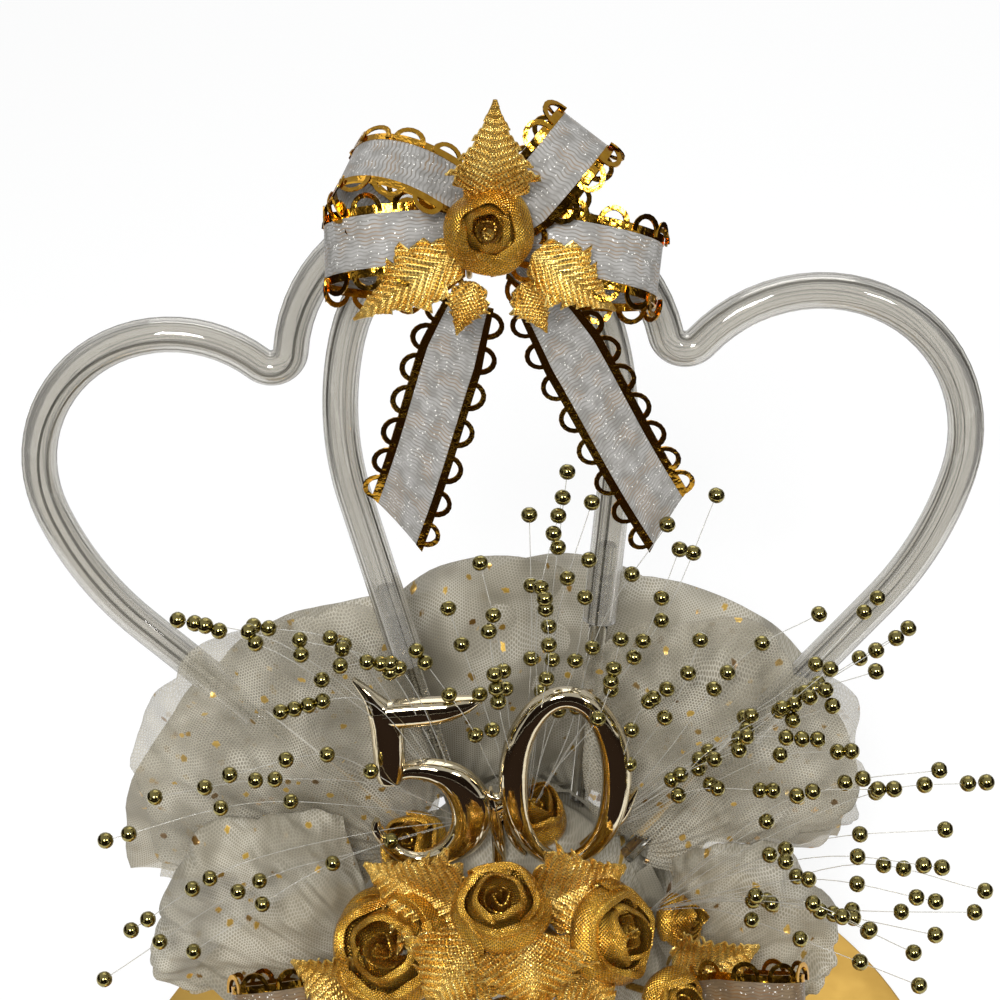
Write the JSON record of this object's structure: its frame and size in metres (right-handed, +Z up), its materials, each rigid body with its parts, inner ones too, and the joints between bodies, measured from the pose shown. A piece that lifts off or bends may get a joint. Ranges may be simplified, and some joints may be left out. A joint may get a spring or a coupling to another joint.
{
  "type": "anniversary cake topper",
  "caption": "Anniversary cake topper: clear tube hearts tied with a ribbon bow above a gold number, fabric roses, tulle puffs and bead sprays in a foam mound on a gold disc.",
  "frame": {"origin": "middle of the disc's underside, where it stands on the cake", "axes": "+Z up, +X to the viewer's right, -Y towards the viewer who reads the number"},
  "size_m": [0.1722, 0.17, 0.2128],
  "materials": {
    "gold_disc": "mirror gold acrylic",
    "white_foam": "expanded foam, matt",
    "clear_acrylic": "clear, polished",
    "gold_plated_plastic": "vacuum-metallised gold",
    "gold_wire": "bright drawn wire",
    "sheer_ribbon": "sheer ribbon with metallic looped edges",
    "tulle_net": "stiff net with glitter",
    "gold_beads": "metallised beads on clear filament",
    "gold_lame": "metallic woven fabric"
  },
  "bodies": {
    "root": {"base_disc": "gold_disc", "bow_knot": "gold_lame", "bow_leaf_left": "gold_lame", "bow_leaf_low_left": "gold_lame", "bow_leaf_low_right": "gold_lame", "bow_leaf_right": "gold_lame", "bow_leaf_top": "gold_lame", "bow_loop_left": "sheer_ribbon", "bow_loop_right": "sheer_ribbon", "bow_loop_upper_left": "sheer_ribbon", "bow_loop_upper_right": "sheer_ribbon", "bow_rose": "gold_lame", "bow_tail_left": "sheer_ribbon", "bow_tail_right": "sheer_ribbon", "bow_tie_wire": "gold_wire", "foam_mound": "white_foam", "foot_loop_left": "sheer_ribbon", "foot_loop_right": "sheer_ribbon", "leaf_centre_left": "gold_lame", "leaf_centre_right": "gold_lame", "leaf_left": "gold_lame", "leaf_low_centre": "gold_lame", "leaf_right": "gold_lame", "leaf_upper_left": "gold_lame", "leaf_upper_right": "gold_lame", "left_heart_tube": "clear_acrylic", "numeral_50": "gold_plated_plastic", "peg_left_inner": "clear_acrylic", "peg_left_outer": "clear_acrylic", "peg_right_inner": "clear_acrylic", "peg_right_outer": "clear_acrylic", "right_heart_tube": "clear_acrylic", "rose_behind_five": "gold_lame", "rose_behind_zero": "gold_lame", "rose_far_right": "gold_lame", "rose_foot_centre": "gold_lame", "rose_front_centre": "gold_lame", "rose_front_left": "gold_lame", "rose_front_right": "gold_lame", "rose_low_centre": "gold_lame", "rose_low_left": "gold_lame", "rose_low_right": "gold_lame", "spray_forward_right": "gold_beads", "spray_left": "gold_beads", "spray_right": "gold_beads", "spray_top": "gold_beads", "tulle_back_left": "tulle_net", "tulle_back_low_left": "tulle_net", "tulle_back_low_right": "tulle_net", "tulle_back_right": "tulle_net", "tulle_front_low_left": "tulle_net", "tulle_front_low_right": "tulle_net", "tulle_left_lower": "tulle_net", "tulle_left_upper": "tulle_net", "tulle_right_lower": "tulle_net", "tulle_right_upper": "tulle_net"}
  },
  "joints": []
}
